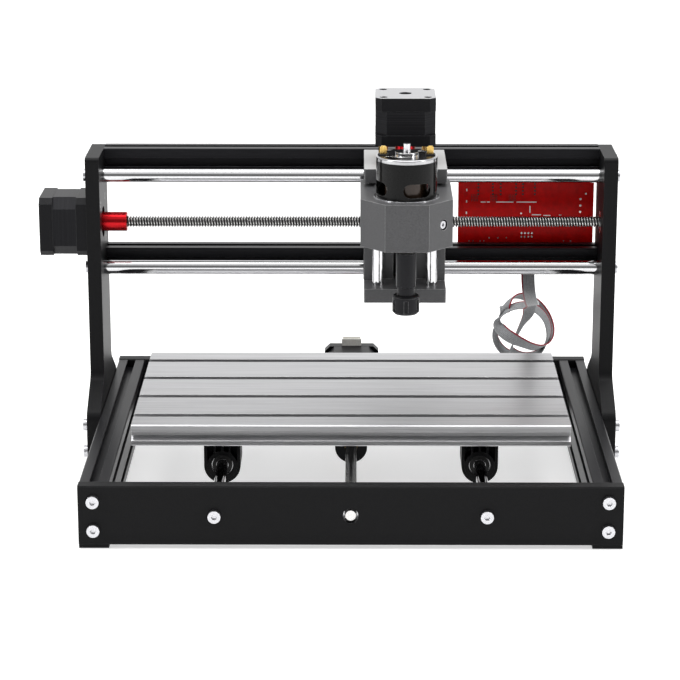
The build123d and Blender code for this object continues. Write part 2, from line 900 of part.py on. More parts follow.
def clamp_screw_place():
    """Location of the clamp screw: square to the right oblique facet, at half height, past its middle."""
    half, facet = clamp_width / 2, clamp_facet_width / 2
    dx, dy = half - facet, clamp_shoulder - clamp_front
    length = math.hypot(dx, dy)
    along = clamp_screw_share
    point = (carriage_x + facet + along * dx, clamp_front + along * dy, clamp_bottom + clamp_height / 2)
    return Plane(origin=point, z_dir=(dy / length, -dx / length, 0)).location


def spindle_clamp():
    plane = Plane(origin=(carriage_x, 0, clamp_bottom))
    body = extrude(plane * clamp_section(), clamp_height)
    half = tongue_width / 2
    tongue = (carriage_x - half, carriage_x + half)
    body += block(tongue, (clamp_back - 2, tongue_back), (clamp_bottom, clamp_top - tongue_relief))
    top, bottom = clamp_top + 1, clamp_bottom - 1
    spindle, screw = (carriage_x, spindle_y), (carriage_x, z_screw_y)
    body -= bar("Z", clamp_bore_radius, spindle, bottom, top)
    body -= bar("Z", coupler_radius + 1, screw, clamp_top - tongue_relief, top)
    body -= bar("Z", screw_radius + screw_pass, screw, bottom, top)
    body -= bar("Z", nut_radius + seat_clearance, screw, bottom, clamp_bottom + nut_flange + nut_barrel)
    step_front = z_screw_y - nut_flange_radius - side_clearance
    step = (tongue[0] - 1, tongue[1] + 1)
    body -= block(step, (step_front, tongue_back + 1), (bottom, clamp_bottom + nut_flange))
    for x in z_rod_places():
        body -= bar("Z", lm8_radius + seat_clearance, (x, z_rod_y), bottom, top)
    spot = clamp_screw_place()
    body -= spot * Pos(0, 0, -clamp_screw_sink - screw_clearance) * Cylinder(m3_head_radius + 1, 20, align=LOW)
    body -= spot * Pos(0, 0, -14.0) * Cylinder(m3_radius + screw_clearance, 20, align=LOW)
    return body


def flux_ring():
    """Rolled steel band round the spindle's case, split at the back; the clamp grips it."""
    outer, inner = clamp_bore_radius - seat_clearance, can_radius
    ring = tube("Z", outer, inner, (carriage_x, spindle_y), clamp_bottom + 1, clamp_top + 0.6)
    slit = (carriage_x - flux_ring_slit / 2, carriage_x + flux_ring_slit / 2)
    return ring - block(slit, (spindle_y, spindle_y + 2 * can_radius), (clamp_bottom, can_top))


def facet_wall():
    """Wall between an oblique facet and the bore."""
    dx, dy = (clamp_width - clamp_facet_width) / 2, clamp_shoulder - clamp_front
    reach = (clamp_facet_width / 2 * dy + (spindle_y - clamp_front) * dx) / math.hypot(dx, dy)
    return reach - clamp_bore_radius


def clamp_screw():
    """Set screw of the clamp, its head sunk in the facet, its tip just short of the band in the bore."""
    length = facet_wall() - clamp_screw_sink - clamp_screw_gap
    return clamp_screw_place() * Pos(0, 0, -clamp_screw_sink) * m3_screw(length)


def z_bearings():
    inset = (clamp_height - lm8_length) / 2
    outer, inner = lm8_radius, z_rod_radius + running_clearance
    start = clamp_bottom + inset
    return group(tube("Z", outer, inner, (x, z_rod_y), start, start + lm8_length) for x in z_rod_places())


def z_nut():
    """Nut with a cut flange, fixed to the tongue from below and trimmed to fit the carriage's channel."""
    half = cut_flange_width / 2
    nut = Pos(carriage_x, z_screw_y, clamp_bottom + nut_flange) * Rot(180, 0, 0) * lead_nut()
    wide, deep = (carriage_x - half, carriage_x + half), (z_screw_y - 15, z_screw_y + 15)
    keep = block(wide, deep, (clamp_bottom, clamp_top))
    return nut & keep


def kidney(radius, width, sweep, start):
    """Arc-shaped slot section about the origin."""
    inner, outer = radius - width / 2, radius + width / 2
    face = Circle(outer) - Circle(inner)
    a, b = math.radians(start), math.radians(start + sweep)
    reach = 2 * outer
    sides = [(reach * math.cos(angle), reach * math.sin(angle)) for angle in (a, b)]
    return face & outline([(0, 0)] + sides)


def spindle_can():
    """Drawn steel case with a nose bearing, open at the top, with four long vent windows above the clamp."""
    middle = (carriage_x, spindle_y)
    can = bar("Z", can_radius, middle, can_bottom, can_top)
    can = fillet(can.edges().filter_by(GeomType.CIRCLE).sort_by(Axis.Z)[0], 1.2)
    can -= bar("Z", can_radius - can_wall, middle, can_bottom + can_wall, can_top + 1)
    can += bar("Z", can_nose_radius, middle, can_bottom - can_nose, can_bottom + can_wall)
    can -= bar("Z", spindle_shaft_radius + running_clearance, middle, can_bottom - can_nose - 1, can_top)
    centre = Pos(carriage_x, spindle_y, clamp_top + window_lift)
    window = Rot(0, 90, 0) * extrude(SlotOverall(window_width, window_height, rotation=90), 2 * can_radius)
    for angle in window_angles:
        can -= centre * Rot(0, 0, angle) * window
    return group([can, flux_ring()])


def spindle_end_cap():
    """Plated cover with the brush gear's windows and the rear bearing's boss."""
    cap = Cylinder(can_radius, end_cap_height, align=LOW)
    cap = fillet(cap.edges().filter_by(GeomType.CIRCLE).sort_by(Axis.Z)[-1], 1.0)
    cap += Cylinder(end_boss_radius, end_cap_height + end_boss, align=LOW)
    cap -= Cylinder(spindle_shaft_radius + running_clearance, 40)
    for start in (25, 205):
        cap -= Pos(0, 0, -1) * extrude(kidney(14.0, 6.0, 50, start), 3 * end_cap_height)
    return Pos(carriage_x, spindle_y, can_top) * cap


def spindle_shaft():
    """Shaft with its armature and commutator."""
    middle = (carriage_x, spindle_y)
    shaft = bar("Z", spindle_shaft_radius, middle, holder_body_bottom + 6, spindle_shaft_top)
    shaft += bar("Z", armature_radius, middle, can_bottom + 12, can_top - 14)
    shaft += bar("Z", 6.0, middle, can_top - 14, can_top - 3)
    return shaft


def collet_holder():
    """Turned holder on the shaft: body, neck and the cone seat that takes the collet."""
    middle = (carriage_x, spindle_y)
    nut_top = collet_nut_bottom + collet_nut_height
    body = bar("Z", holder_body_radius, middle, holder_body_bottom, holder_body_top)
    body = chamfer(body.edges().filter_by(GeomType.CIRCLE), 0.5)
    body += bar("Z", holder_neck_radius, middle, nut_top - 6, holder_body_bottom)
    shaft_hole = spindle_shaft_radius + running_clearance
    body -= bar("Z", shaft_hole, middle, holder_body_bottom + 5, holder_body_top + 1)
    cone = Cone(4.0, 3.2, 14, align=LOW)
    return body - Pos(*middle, nut_top - 6) * cone


def collet_nut():
    middle = (carriage_x, spindle_y)
    top = collet_nut_bottom + collet_nut_height
    nut = bar("Z", collet_nut_radius, middle, collet_nut_bottom, top)
    nut = chamfer(nut.edges().filter_by(GeomType.CIRCLE).sort_by(Axis.Z)[0], 1.6)
    nut = chamfer(nut.edges().filter_by(GeomType.CIRCLE).sort_by(Axis.Z)[-1], 0.8)
    nut -= bar("Z", holder_neck_radius + seat_clearance, middle, top - 6, top + 1)
    nut -= bar("Z", 4.4, middle, collet_nut_bottom - 1, top)
    slot = Pos(0, collet_nut_radius, collet_nut_bottom + 6) * Box(3.0, 2.4, 9.0)
    for i in range(6):
        nut -= Pos(*middle, 0) * Rot(0, 0, 60 * i) * slot
    return nut


def collet():
    middle = (carriage_x, spindle_y)
    top = collet_nut_bottom + collet_nut_height
    body = Pos(*middle, top - 5.8) * Cone(3.9, 3.2, 12, align=LOW)
    body += bar("Z", 3.9, middle, collet_nut_bottom + 0.4, top - 5.8)
    return body - bar("Z", collet_bore_radius, middle, collet_nut_bottom - 1, top + 10)


# Control board

def board_corners():
    xs = (board_left + board_hole_inset, board_right - board_hole_inset)
    return [(x, z) for x in xs for z in beam_axes]


def control_board():
    board = block((board_left, board_right), (board_front, board_back), (board_bottom, board_top))
    board = fillet(board.edges().filter_by(Axis.Y), 2.0)
    for x, z in board_corners():
        board -= bar("Y", m3_radius + screw_clearance, (x, z), board_front - 1, board_back + 1)
    return board


def board_fixings():
    """Spacers, screws and sliding nuts that hold the board to the beams' rear slots."""
    pieces = []
    for x, z in board_corners():
        pieces.append(tube("Y", spacer_radius, m3_radius + screw_clearance, (x, z), beam_back, board_front))
        pieces.append(Pos(x, board_back, z) * Rot(-90, 0, 0) * m3_screw(10))
        nut_back = beam_back - slot_lip
        nut = block((x - 4, x + 4), (nut_back - 2.2, nut_back), (z - 4.6, z + 4.6))
        pieces.append(nut - bar("Y", m3_radius + seat_clearance, (x, z), nut_back - 3, nut_back + 1))
    return group(pieces)


def heatsink():
    half = heatsink_width / 2
    low, high = fan_z - heatsink_height / 2, fan_z + heatsink_height / 2
    body = block((fan_x - half, fan_x + half), (board_back, board_back + heatsink_base), (low, high))
    pitch = (heatsink_width - fin_thickness) / (fin_count - 1)
    for i in range(fin_count):
        x = fan_x - half + i * pitch
        body += block((x, x + fin_thickness), (board_back, fan_front), (low, high))
    return body


def fan_frame():
    """Square fan housing with a round duct, four screw ears and a spider that carries the hub's pin."""
    half = fan_side / 2
    back = fan_front + fan_depth
    frame = block((fan_x - half, fan_x + half), (fan_front, back), (fan_z - half, fan_z + half))
    frame = fillet(frame.edges().filter_by(Axis.Y), 3.0)
    duct = half - fan_wall
    frame -= bar("Y", duct, (fan_x, fan_z), fan_front - 1, back + 1)
    spider = [
        block((fan_x - duct - 1, fan_x + duct + 1), (fan_front, fan_front + 1.2), (fan_z - 1, fan_z + 1)),
        block((fan_x - 1, fan_x + 1), (fan_front, fan_front + 1.2), (fan_z - duct - 1, fan_z + duct + 1)),
        bar("Y", fan_hub_radius - 1, (fan_x, fan_z), fan_front, fan_front + 1.5),
        bar("Y", 1.5, (fan_x, fan_z), fan_front, fan_front + 7),
    ]
    frame += spider
    for x in (-fan_pitch / 2, fan_pitch / 2):
        for z in (-fan_pitch / 2, fan_pitch / 2):
            frame -= bar("Y", 1.7, (fan_x + x, fan_z + z), fan_front - 1, back + 1)
    return frame


def fan_rotor():
    """Hub with seven swept blades."""
    start, end = fan_front + 2.0, fan_front + fan_depth - 0.6
    rotor = bar("Y", fan_hub_radius, (fan_x, fan_z), start, end)
    reach = fan_side / 2 - fan_wall - fan_hub_radius
    blade = Pos(0, 0, fan_hub_radius - 1) * Rot(0, 0, 35) * Box(9.0, 1.0, reach, align=LOW)
    middle = Pos(fan_x, (start + end) / 2, fan_z)
    for i in range(7):
        rotor += middle * Rot(0, 360 * i / 7, 0) * blade
    return rotor - bar("Y", 1.5 + running_clearance, (fan_x, fan_z), fan_front, fan_front + 7.1)


def shell_socket(x, z, depth, wall):
    """Open-ended socket shell on the board's rear face from (low, high) pairs."""
    back = board_back + depth
    shell = block(x, (board_back, back), z)
    return shell - block((x[0] + wall, x[1] - wall), (board_back + 1.2, back + 1), (z[0] + wall, z[1] - wall))


def power_jack():
    """Round mouth facing up."""
    low, mouth = board_left + 9, board_top - 1
    body = block((low, low + 9), (board_back, board_back + 11), (mouth - 14, mouth))
    return body - bar("Z", 3.2, (low + 4.5, board_back + 6), mouth - 9, mouth + 1)


def data_socket():
    """Square mouth facing up."""
    low, mouth = board_left + 24, board_top - 1
    body = block((low, low + 12), (board_back, board_back + 11), (mouth - 16, mouth))
    return body - block((low + 2, low + 10), (board_back + 1.8, board_back + 9.2), (mouth - 9, mouth + 1))


def board_connectors():
    """Ribbon header, motor plugs, spindle terminal, power and data sockets, switch case and capacitors."""
    low = board_bottom
    header = (ribbon_header_x - 8.5, ribbon_header_x + 8.5)
    pieces = [shell_socket(header, (header_z - 4.4, header_z + 4.4), 8.8, 1.1)]
    for i in range(3):
        x = board_left + 15 + 13 * i
        pieces.append(shell_socket((x - 5.5, x + 5.5), (low + 2, low + 8), 8.0, 0.9))
    terminal = (board_right - 18, board_right - 8)
    pieces.append(block(terminal, (board_back, board_back + 9), (low + 14, low + 24)))
    pieces.append(power_jack())
    pieces.append(data_socket())
    pieces.append(switch_case())
    for i in range(3):
        spot = (board_left + 8 + 12 * i, low + 17)
        pieces.append(bar("Y", 4.0, spot, board_back, board_back + 11))
    return group(pieces)


def switch_middle():
    return (board_right - 12, board_back + 0.5 + switch_side / 2)


def switch_case():
    x, y = switch_middle()
    half = switch_side / 2
    case = block((x - half, x + half), (board_back, y + half), (switch_top - switch_height, switch_top))
    return case - bar("Z", button_radius + 0.15, (x, y), switch_top - 7, switch_top + 1)


def power_button():
    """Plunger with a wider cap, standing out of the top of its case."""
    spot = switch_middle()
    cap_bottom = switch_top + button_rise
    stem = bar("Z", button_radius, spot, switch_top - 4, cap_bottom)
    return stem + bar("Z", button_cap_radius, spot, cap_bottom, cap_bottom + button_cap)


# Ribbon cable

def path_radii(points):
    """Largest arc that each corner's two runs allow."""
    radii = []
    for before, here, after in zip(points, points[1:], points[2:]):
        one, two = Vector(here) - Vector(before), Vector(after) - Vector(here)
        turn = math.radians(one.get_angle(two))
        radii.append(0.45 * min(one.length, two.length) / math.tan(turn / 2))
    return radii


def cable(points):
    """Round tube along straight runs joined by tangent arcs."""
    radii = path_radii(points)
    path = FilletPolyline(*points, radius=radii)
    section = Plane(origin=path @ 0, z_dir=path % 0) * Circle(ribbon_width / 2)
    round_lead = sweep(section, path)
    print("cable radii", [round(r, 1) for r in radii])
    print("cable length", round(path.length, 1))
    print("cable volume", round(round_lead.volume), "of", round(section.area * path.length))
    return round_lead


def ribbon_coil():
    """Outer shape of the loose loops, standing on the bench."""
    x, y = coil_centre
    start, end = y - coil_thickness / 2, y + coil_thickness / 2
    return tube("Y", coil_outer, coil_inner, (x, coil_outer), start, end)


def ribbon_socket():
    """Crimped socket on the ribbon's start, pushed into the board's header."""
    x, z = ribbon_header_x, header_z
    front = board_back + 2.0
    body = block((x - 7.0, x + 7.0), (front, front + 13.4), (z - 3.0, z + 3.0))
    return body + block((x - 7.0, x + 7.0), (front + 11.4, front + 15.4), (z - 3.4, z + 3.4))


def ribbon_plug():
    """Matching socket on the free end, lying flat on the bench."""
    x, y, _ = tail_points[-1]
    half = ribbon_plug_width / 2
    return block((x - ribbon_plug_length, x), (y - half, y + half), (0, ribbon_plug_height))


nodes = {
    "front_plate": front_plate(),
    "back_plate": back_plate(),
    "left_rail": rail(-rail_x),
    "right_rail": rail(rail_x),
    "left_upright": left_upright(),
    "right_upright": right_upright(),
    "upper_beam": beam(upper_beam_bottom + cell / 2),
    "lower_beam": beam(lower_beam_bottom + cell / 2),
    "x_rods": x_rods(),
    "y_rods": y_rods(),
    "frame_fasteners": frame_fasteners(),
    "x_motor_caps": X_MOTOR * motor_caps(),
    "x_motor_stack": X_MOTOR * motor_stack(),
    "y_motor_caps": Y_MOTOR * motor_caps(),
    "y_motor_stack": Y_MOTOR * motor_stack(),
    "z_motor_caps": Z_MOTOR * motor_caps(),
    "z_motor_stack": Z_MOTOR * motor_stack(),
    "motor_sockets": motor_sockets(),
    "z_motor_socket": Z_MOTOR * Rot(0, 0, 180) * motor_socket(),
    "motor_screws": motor_screws(),
    "end_bearings": end_bearings(),
    "x_drive": drive(X_MOTOR),
    "y_drive": drive(Y_MOTOR),
    "z_drive": drive(Z_MOTOR),
    "x_lead_screw": x_lead_screw(),
    "y_lead_screw": y_lead_screw(),
    "z_lead_screw": z_lead_screw(),
    "work_table": work_table(),
    "table_screws": table_screws(),
    "bearing_housings": bearing_housings(),
    "y_bearings": y_bearings(),
    "y_nut_holder": y_nut_holder(),
    "y_nut": y_nut(),
    "carriage_body": carriage_body(),
    "x_bearings": x_bearings(),
    "x_nut": x_nut(),
    "z_rods": z_rods(),
    "z_standoffs": z_standoffs(),
    "spindle_clamp": spindle_clamp(),
    "clamp_screw": clamp_screw(),
    "z_bearings": z_bearings(),
    "z_nut": z_nut(),
    "spindle_can": spindle_can(),
    "spindle_end_cap": spindle_end_cap(),
    "spindle_shaft": spindle_shaft(),
    "collet_holder": collet_holder(),
    "collet_nut": collet_nut(),
    "collet": collet(),
    "control_board": control_board(),
    "board_fixings": board_fixings(),
    "heatsink": heatsink(),
    "fan_frame": fan_frame(),
    "fan_rotor": fan_rotor(),
    "board_connectors": board_connectors(),
    "power_button": power_button(),
    "ribbon_socket": ribbon_socket(),
    "ribbon_drop": cable(drop_points),
    "ribbon_coil": ribbon_coil(),
    "ribbon_tail": cable(tail_points),
    "ribbon_plug": ribbon_plug(),
}

os.makedirs("parts", exist_ok=True)
for name, shape in nodes.items():
    export_step(Pos(-origin_x, -origin_y, 0) * shape, f"parts/{name}.step")
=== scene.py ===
import bmesh
import bpy
import math
from mathutils import Matrix, Vector


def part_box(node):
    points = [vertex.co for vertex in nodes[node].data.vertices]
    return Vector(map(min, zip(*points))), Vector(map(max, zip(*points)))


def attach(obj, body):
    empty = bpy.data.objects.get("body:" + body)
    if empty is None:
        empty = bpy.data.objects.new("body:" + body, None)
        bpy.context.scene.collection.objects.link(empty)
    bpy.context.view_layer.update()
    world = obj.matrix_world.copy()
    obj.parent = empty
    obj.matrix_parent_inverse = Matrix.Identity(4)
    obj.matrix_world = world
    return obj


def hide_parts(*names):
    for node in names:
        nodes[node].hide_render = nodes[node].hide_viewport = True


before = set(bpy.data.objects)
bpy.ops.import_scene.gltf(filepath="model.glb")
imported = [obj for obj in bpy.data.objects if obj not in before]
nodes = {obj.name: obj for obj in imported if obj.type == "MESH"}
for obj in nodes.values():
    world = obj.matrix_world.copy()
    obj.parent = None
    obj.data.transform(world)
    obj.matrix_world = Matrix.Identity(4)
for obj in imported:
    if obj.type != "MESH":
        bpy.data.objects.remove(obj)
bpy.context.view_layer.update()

# Camera on the bench's centre line, looking down on the machine from in front.
eye = bpy.data.objects.new("camera", bpy.data.cameras.new("camera"))
bpy.context.scene.collection.objects.link(eye)
eye.location = (0.01813, -1.71586, 0.57955)
eye.rotation_euler = (math.radians(90 - 15.75), math.radians(0.02), math.radians(0.36))
eye.data.sensor_width = 36
eye.data.lens = 131.58
bpy.context.scene.camera = eye


# Ribbon cable: eight grey conductors side by side, 1.27 mm apart, the first one red.
# It drops from the board's header behind the machine, lies in two loose loops on the bench
# and ends in a crimped plug. The loops differ in size and lean over each other.
PITCH = 0.00127
WAYS = 8
RIBBON = WAYS * PITCH
MIDDLE, FRONT = 0.01525, -0.17025  # the frame's middle line and the front plate's face, along X and Y
bench_shift = Vector((MIDDLE, FRONT, 0))
drop = [
    (0.1320, 0.2662, 0.1406), (0.1323, 0.2672, 0.1230), (0.1340, 0.2780, 0.1045),
    (0.1380, 0.3030, 0.0880), (0.1420, 0.3380, 0.0765), (0.1450, 0.3760, 0.0680),
    (0.1465, 0.4090, 0.0595), (0.1468, 0.4240, 0.0535), (0.1440, 0.4300, 0.0440),
    (0.1390, 0.4330, 0.0330),
]
drop_edges = [
    (-1, 0, 0), (-1, 0, 0), (-1, 0.1, 0), (-1, 0.1, -0.1), (-0.95, 0.1, -0.2), (-0.9, 0.1, -0.4),
    (-0.8, 0.2, -0.5), (-0.7, 0.4, -0.5), (-0.4, 0.8, -0.3), (0, 1, 0),
]
tail = [
    (0.1290, 0.4440, 0.0016), (0.1150, 0.4440, 0.0014), (0.1000, 0.4410, 0.0014),
    (0.0860, 0.4380, 0.0028),
]
tail_edges = [(0.1, 0.98, 0.05), (0.05, 1, 0), (0, 1, 0), (0, 1, 0)]
upright = {"centre": Vector((0.1408, 0.4390, 0.0272)), "across": Vector((1.0, 0.12, 0)),
           "up": Vector((0, 0.12, 1.0)), "edge": Vector((0.35, 0.85, 0.35)), "radius": 0.0228}
leaning = {"centre": Vector((0.1467, 0.4400, 0.0350)), "across": Vector((0.655, 0.756, 0)),
           "up": Vector((-0.454, 0.393, 0.794)), "edge": Vector((0.6, -0.52, 0.6)), "radius": 0.0240}


def eased(turned, start, span):
    """0 before an angle, 1 a span after it, smooth between, in degrees."""
    share = min(1, max(0, (turned - start) / span))
    return share * share * (3 - 2 * share)


FIRST, LAST, STEP = 232, 972, 20  # degrees gone round at the first and last point of the loops
LEAN, UNLEAN = (500, 90), (830, 70)  # degrees at which the loops start to lean and to rise, and the span
START_SIZE = 0.72  # of the full radius where the ribbon comes in
SIDESTEP = 0.006  # from one loop to the next
loops = []
loop_edges = []
for turned in range(FIRST, LAST + 1, STEP):
    w = eased(turned, *LEAN) * (1 - eased(turned, *UNLEAN))
    mix = {key: upright[key] * (1 - w) + leaning[key] * w for key in upright}
    grow = START_SIZE + (1 - START_SIZE) * min(1, (turned - FIRST) / 90)
    a = math.radians(turned)
    drift = Vector((0, SIDESTEP * ((turned - FIRST) / 360 - 0.9), 0))
    spoke = math.cos(a) * mix["across"] + math.sin(a) * mix["up"]
    loops.append(mix["centre"] + drift + mix["radius"] * grow * spoke)
    loop_edges.append(mix["edge"])

route_points = [Vector(p) + bench_shift for p in drop + loops + tail]
route_edges = [Vector(e).normalized() for e in drop_edges + loop_edges + tail_edges]
route = bpy.data.curves.new("ribbon_route", "CURVE")
route.dimensions = "3D"
route.resolution_u = 8
strand = route.splines.new("NURBS")
strand.points.add(len(route_points) - 1)
for control, p in zip(strand.points, route_points):
    control.co = (*p, 1)
strand.order_u = 3
strand.use_endpoint_u = True
guide = bpy.data.objects.new("ribbon_route", route)
bpy.context.scene.collection.objects.link(guide)
line = [v.co.copy() for v in bpy.data.meshes.new_from_object(guide).vertices]
bpy.data.objects.remove(guide)


# Back of one conductor: places as shares of the pitch, heights in millimetres.
BACK = (-0.46, 0.30), (-0.25, 0.52), (0, 0.60), (0.25, 0.52), (0.46, 0.30)


def strip_section():
    """Outline of the flat cable across its width: eight round-backed conductors with a web between them."""
    top = []
    for way in range(WAYS):
        middle = (way + 0.5) * PITCH - RIBBON / 2
        for offset, height in BACK:
            top.append((middle + offset * PITCH, height * 0.001))
    return top + [(x, -y) for x, y in reversed(top)]


def edge_at(step):
    """Direction across the ribbon at a step of its line, turned gradually between the route's own points."""
    place = step / (len(line) - 1) * (len(route_edges) - 1)
    low = min(int(place), len(route_edges) - 2)
    return route_edges[low].lerp(route_edges[low + 1], place - low)


def new_piece(name, bm, material, body):
    """A finished bmesh as a piece that rides on a body."""
    mesh = bpy.data.meshes.new(name)
    bm.to_mesh(mesh)
    bm.free()
    piece = bpy.data.objects.new(name, mesh)
    bpy.context.scene.collection.objects.link(piece)
    mesh.materials.append(material)
    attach(piece, body)
    return piece


def blank_finish(name):
    """Material with its shader, a tool that adds nodes to it and one that links them to the shader."""
    material = bpy.data.materials.new(name)
    material.use_nodes = True
    tree = material.node_tree
    shader = tree.nodes["Principled BSDF"]

    def add(kind, settings=None, **inputs):
        node = tree.nodes.new("ShaderNode" + kind)
        for key, value in (settings or {}).items():
            setattr(node, key, value)
        for key, value in inputs.items():
            numbered = key[0] == "i" and key[1:].isdigit()
            socket = node.inputs[int(key[1:]) if numbered else key]
            if hasattr(value, "is_output"):
                tree.links.new(value, socket)
            else:
                socket.default_value = value
        return node

    def wire(output, socket):
        tree.links.new(output, shader.inputs[socket])

    return material, shader, add, wire


def ramp(add, source, low, high, first, last):
    """Colour ramp between two colours over a stretch of a value."""
    node = add("ValToRGB", Fac=source)
    node.color_ramp.elements[0].position = low
    node.color_ramp.elements[1].position = high
    node.color_ramp.elements[0].color = (*first, 1)
    node.color_ramp.elements[1].color = (*last, 1)
    return node.outputs["Color"]


def ribbon_finish():
    """Soft grey PVC with a red first conductor, by the UV across the strip."""
    material, shader, add, wire = blank_finish("ribbon_pvc")
    across = add("SeparateXYZ", Vector=add("UVMap", {"uv_map": "strip"}).outputs["UV"]).outputs["X"]
    mottle = add("TexNoise", Scale=900.0, Detail=3.0, Vector=add("TexCoord").outputs["Object"]).outputs["Fac"]
    grey = ramp(add, mottle, 0.3, 0.7, (0.13, 0.135, 0.14), (0.2, 0.205, 0.21))
    red = add("Math", {"operation": "GREATER_THAN"}, i0=across, i1=(WAYS - 1) / WAYS).outputs[0]
    colour = add("Mix", {"data_type": "RGBA"}, i0=red, i6=grey, i7=(0.15, 0.001, 0.009, 1)).outputs[2]
    wire(colour, "Base Color")
    shader.inputs["Roughness"].default_value = 0.42
    shader.inputs["Specular IOR Level"].default_value = 0.2
    wire(add("Bump", Strength=0.25, Distance=0.00008, Height=mottle).outputs["Normal"], "Normal")
    return material


section = strip_section()
bm = bmesh.new()
uv = bm.loops.layers.uv.new("strip")
rings = []
for step, here in enumerate(line):
    ahead = line[min(step + 1, len(line) - 1)] - line[max(step - 1, 0)]
    ahead.normalize()
    across = edge_at(step)
    across = (across - across.dot(ahead) * ahead).normalized()
    out = ahead.cross(across)
    rings.append([bm.verts.new(here + across * x + out * y) for x, y in section])
for ring, following in zip(rings, rings[1:]):
    for i in range(len(ring)):
        j = (i + 1) % len(ring)
        bm.faces.new((ring[i], ring[j], following[j], following[i]))
bm.faces.new(rings[0])
bm.faces.new(rings[-1])
places = {v: section[i][0] / RIBBON + 0.5 for ring in rings for i, v in enumerate(ring)}
for face in bm.faces:
    for corner in face.loops:
        corner[uv].uv = (places[corner.vert], 0.5)
    face.smooth = True
bmesh.ops.recalc_face_normals(bm, faces=bm.faces)
ribbon = new_piece("ribbon_cable", bm, ribbon_finish(), "base")
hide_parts("ribbon_drop", "ribbon_coil", "ribbon_tail")


# Bench: a wide pale sheet under the machine, and even studio light from a big top panel,
# two side panels and a room that is pale overhead and behind, and darker low in front.
def plain_floor():
    material, shader, add, wire = blank_finish("bench_white")
    mottle = add("TexNoise", Scale=6.0, Detail=2.0, Vector=add("TexCoord").outputs["Object"]).outputs["Fac"]
    wire(ramp(add, mottle, 0.3, 0.7, (0.6, 0.6, 0.6), (0.64, 0.64, 0.64)), "Base Color")
    shader.inputs["Roughness"].default_value = 0.7
    shader.inputs["Emission Color"].default_value = (1, 1, 1, 1)
    shader.inputs["Emission Strength"].default_value = 0.55
    return material


bm = bmesh.new()
bmesh.ops.create_grid(bm, x_segments=1, y_segments=1, size=6)
floor = bpy.data.objects.new("bench", bpy.data.meshes.new("bench"))
bm.to_mesh(floor.data)
bm.free()
bpy.context.scene.collection.objects.link(floor)
floor.location.z = -0.0005
floor.data.materials.append(plain_floor())


def panel(name, place, aim, size, watts):
    light = bpy.data.lights.new(name, "AREA")
    light.shape = "RECTANGLE"
    light.size, light.size_y = size
    light.energy = watts
    lamp = bpy.data.objects.new(name, light)
    bpy.context.scene.collection.objects.link(lamp)
    lamp.location = place
    lamp.rotation_euler = (Vector(aim) - Vector(place)).to_track_quat("-Z", "Y").to_euler()


panel("top_panel", (0, 0.15, 1.9), (0, 0, 0.1), (1.8, 1.2), 30)
panel("left_panel", (-1.6, -0.7, 1.0), (0, 0, 0.12), (0.5, 1.2), 14)
panel("right_panel", (1.6, -0.7, 1.0), (0, 0, 0.12), (0.5, 1.2), 14)
room = bpy.data.worlds.new("room")
room.use_nodes = True
sky = room.node_tree
direction = sky.nodes.new("ShaderNodeTexCoord")
slant = sky.nodes.new("ShaderNodeVectorMath")
slant.operation = "DOT_PRODUCT"
slant.inputs[1].default_value = (0, 0.5, 1)
fade = sky.nodes.new("ShaderNodeMapRange")
fade.inputs["From Min"].default_value = 0.05
fade.inputs["From Max"].default_value = 0.45
fade.inputs["To Min"].default_value = 0.22
fade.inputs["To Max"].default_value = 1.12
sky.links.new(direction.outputs["Generated"], slant.inputs[0])
sky.links.new(slant.outputs["Value"], fade.inputs["Value"])
sky.links.new(fade.outputs[0], sky.nodes["Background"].inputs["Strength"])
sky.nodes["Background"].inputs["Color"].default_value = (1, 1, 1, 1)
bpy.context.scene.world = room
bpy.context.scene.view_settings.view_transform = "Standard"


def grain_finish(name, dark, light, rough, metal=0.0, scale=1500.0, stretch=(1, 1, 1), bump=0.00005,
                 edge=None, round_edge=0.0003, coat=0.0, detail=4.0, shine=0.5, over=None):
    """Finish whose colour, gloss and surface follow one fine grain, with softened edges painted paler as a
    painted highlight.
    over(add) may give a list of (mask, colour, metal) for parts that are made of something else, or for a
    face with a painted highlight."""
    material, shader, add, wire = blank_finish(name)
    place = add("Mapping", Vector=add("TexCoord").outputs["Object"], Scale=stretch).outputs["Vector"]
    grain = add("TexNoise", Scale=scale, Detail=detail, Roughness=0.6, Vector=place).outputs["Fac"]
    colour = ramp(add, grain, 0.3, 0.7, dark, light)
    soft = add("Bevel", {"samples": 4}, Radius=round_edge).outputs["Normal"]
    # Painted highlight: where the softened normal bends away from the face's own normal, the colour turns to
    # the paler edge colour.
    if edge:
        flat = add("NewGeometry").outputs["True Normal"]
        bend = add("VectorMath", {"operation": "DOT_PRODUCT"}, i0=soft, i1=flat).outputs["Value"]
        painted_edge_highlight = add("MapRange", i0=bend, i1=0.97, i2=0.80, i3=0.0, i4=1.0).outputs[0]
        colour = add("Mix", {"data_type": "RGBA"}, i0=painted_edge_highlight, i6=colour, i7=(*edge, 1)).outputs[2]
    shader.inputs["Metallic"].default_value = metal
    for mask, other, other_metal in (over(add) if over else []):
        colour = add("Mix", {"data_type": "RGBA"}, i0=mask, i6=colour, i7=(*other, 1)).outputs[2]
        metal = add("Mix", {"data_type": "FLOAT"}, i0=mask, i2=metal, i3=other_metal).outputs[0]
        wire(metal, "Metallic")
    wire(colour, "Base Color")
    wire(add("MapRange", i0=grain, i3=rough[0], i4=rough[1]).outputs[0], "Roughness")
    shader.inputs["Coat Weight"].default_value = coat
    shader.inputs["Specular IOR Level"].default_value = shine
    wire(add("Bump", Strength=0.5, Distance=bump, Height=grain, Normal=soft).outputs["Normal"], "Normal")
    return material


